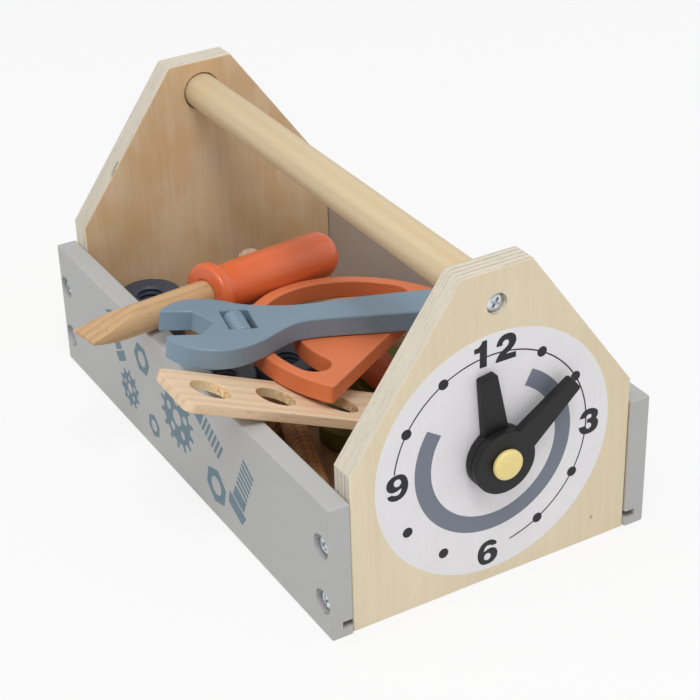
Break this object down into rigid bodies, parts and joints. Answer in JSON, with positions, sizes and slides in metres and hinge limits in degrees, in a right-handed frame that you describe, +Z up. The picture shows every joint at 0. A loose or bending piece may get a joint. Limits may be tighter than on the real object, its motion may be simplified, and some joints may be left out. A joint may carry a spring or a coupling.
{
  "type": "toy tool box",
  "caption": "Open wooden toy tool box with house-shaped ends, a dowel handle, a play clock on one end, and loose wooden tools, bolts and nuts lying inside.",
  "frame": {"origin": "middle of the whole part's extents, on the plane that the box stands on", "axes": "+X along the box towards the clock end, +Y from the front side panel to the rear one, +Z up"},
  "size_m": [0.2864, 0.1962, 0.1515],
  "materials": {
    "grey_paint": "matt light grey paint",
    "birch_ply": "bare birch plywood",
    "beech_dowel": "bare turned dowel",
    "thin_ply": "bare thin plywood",
    "zinc": "zinc plated",
    "black_paint": "matt black paint",
    "yellow_wood": "varnished",
    "blue_paint": "satin blue-grey paint",
    "orange_paint": "satin orange paint",
    "slate_paint": "satin slate paint",
    "olive_paint": "satin olive paint",
    "pine": "bare softwood"
  },
  "bodies": {
    "box": {"front_side_panel": "grey_paint", "rear_side_panel": "grey_paint", "clock_end_panel": "birch_ply", "back_end_panel": "birch_ply", "bottom_panel": "thin_ply", "handle_dowel": "beech_dowel", "handle_screw_clock": "zinc", "handle_screw_back": "zinc", "screw_front_clock_low": "zinc", "screw_front_clock_high": "zinc", "screw_front_back_low": "zinc", "screw_front_back_high": "zinc", "screw_rear_clock_low": "zinc", "screw_rear_clock_high": "zinc", "screw_rear_back_low": "zinc", "screw_rear_back_high": "zinc", "clock_pin": "yellow_wood"},
    "hour_hand": {"hour_hand": "black_paint"},
    "minute_hand": {"minute_hand": "black_paint"},
    "short_strip": {"short_strip": "olive_paint"},
    "hammer": {"hammer_head": "slate_paint", "hammer_handle": "orange_paint"},
    "long_strip": {"long_strip": "pine"},
    "protractor": {"protractor": "orange_paint"},
    "screwdriver": {"screwdriver_blade": "pine", "screwdriver_handle": "orange_paint"},
    "wrench": {"wrench_body": "blue_paint", "worm_pin": "zinc"},
    "worm": {"wrench_worm": "blue_paint"},
    "stacked_nut_1": {"stacked_nut_1": "slate_paint"},
    "stacked_nut_2": {"stacked_nut_2": "slate_paint"},
    "stacked_nut_3": {"stacked_nut_3": "slate_paint"},
    "front_nut": {"front_nut": "slate_paint"},
    "middle_nut": {"middle_nut": "slate_paint"},
    "olive_nut": {"olive_nut": "olive_paint"},
    "standing_bolt": {"standing_bolt": "pine"},
    "lying_bolt": {"lying_bolt": "pine"}
  },
  "joints": [
    {"name": "hour_hand_turn", "type": "hinge", "parent": "box", "child": "hour_hand", "pos_m": [0.13215, 0.0175, 0.0642], "axis": [1, 0, 0], "continuous": true},
    {"name": "minute_hand_turn", "type": "hinge", "parent": "box", "child": "minute_hand", "pos_m": [0.13215, 0.0175, 0.0642], "axis": [1, 0, 0], "continuous": true},
    {"name": "short_strip_lift", "type": "slide", "parent": "box", "child": "short_strip", "axis": [0, 0, 1], "range_m": [0, 0.004]},
    {"name": "hammer_lift", "type": "slide", "parent": "short_strip", "child": "hammer", "axis": [0, 0, 1], "range_m": [0, 0.006]},
    {"name": "long_strip_lift", "type": "slide", "parent": "hammer", "child": "long_strip", "axis": [0, 0, 1], "range_m": [0, 0.008]},
    {"name": "protractor_lift", "type": "slide", "parent": "long_strip", "child": "protractor", "axis": [0, 0, 1], "range_m": [0, 0.008]},
    {"name": "screwdriver_lift", "type": "slide", "parent": "protractor", "child": "screwdriver", "axis": [0, 0, 1], "range_m": [0, 0.008]},
    {"name": "wrench_lift", "type": "slide", "parent": "protractor", "child": "wrench", "axis": [0, 0, 1], "range_m": [0, 0.01]},
    {"name": "worm_turn", "type": "hinge", "parent": "wrench", "child": "worm", "pos_m": [0.00145, -0.03419, 0.07749], "axis": [-0.9758, 0.2163, -0.0304], "continuous": true},
    {"name": "stacked_nut_1_lift", "type": "slide", "parent": "box", "child": "stacked_nut_1", "axis": [0, 0, 1], "range_m": [0, 0.005]},
    {"name": "stacked_nut_2_lift", "type": "slide", "parent": "stacked_nut_1", "child": "stacked_nut_2", "axis": [0, 0, 1], "range_m": [0, 0.008]},
    {"name": "stacked_nut_3_lift", "type": "slide", "parent": "stacked_nut_2", "child": "stacked_nut_3", "axis": [0, 0, 1], "range_m": [0, 0.012]},
    {"name": "front_nut_lift", "type": "slide", "parent": "box", "child": "front_nut", "axis": [0, 0, 1], "range_m": [0, 0.015]},
    {"name": "middle_nut_lift", "type": "slide", "parent": "box", "child": "middle_nut", "axis": [0, 0, 1], "range_m": [0, 0.015]},
    {"name": "olive_nut_lift", "type": "slide", "parent": "box", "child": "olive_nut", "axis": [0, 0, 1], "range_m": [0, 0.01]},
    {"name": "standing_bolt_lift", "type": "slide", "parent": "box", "child": "standing_bolt", "axis": [0, 0, 1], "range_m": [0, 0.02]},
    {"name": "lying_bolt_lift", "type": "slide", "parent": "box", "child": "lying_bolt", "axis": [0, 0, 1], "range_m": [0, 0.008]}
  ]
}
